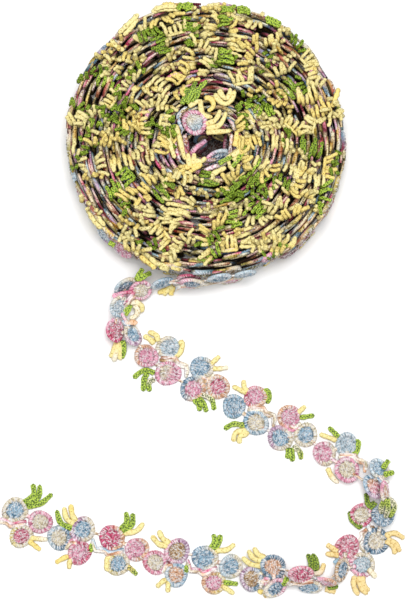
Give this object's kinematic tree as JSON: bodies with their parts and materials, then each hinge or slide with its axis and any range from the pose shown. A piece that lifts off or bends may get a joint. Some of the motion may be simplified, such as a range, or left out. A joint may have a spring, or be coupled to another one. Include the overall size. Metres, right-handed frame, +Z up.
{
  "type": "embroidered lace ribbon",
  "caption": "Flat roll of narrow embroidered flower-and-leaf lace ribbon, wound on its own with no core, its outer end lying loose in an S beside the roll.",
  "frame": {"origin": "middle of the bounding box, on the surface that the roll and its loose end lie on", "axes": "+Z up out of the roll's upper face, +Y from the loose end towards the roll, +X to the right when looking along +Y"},
  "size_m": [0.1742, 0.2608, 0.027],
  "materials": {
    "leaf_thread": "soft satin-stitch embroidery thread",
    "flower_thread": "soft satin-stitch embroidery thread in changing pastel colours"
  },
  "bodies": {
    "root": {"wound_roll": "leaf_thread", "loose_end": "flower_thread", "inner_end": "leaf_thread"}
  },
  "joints": []
}
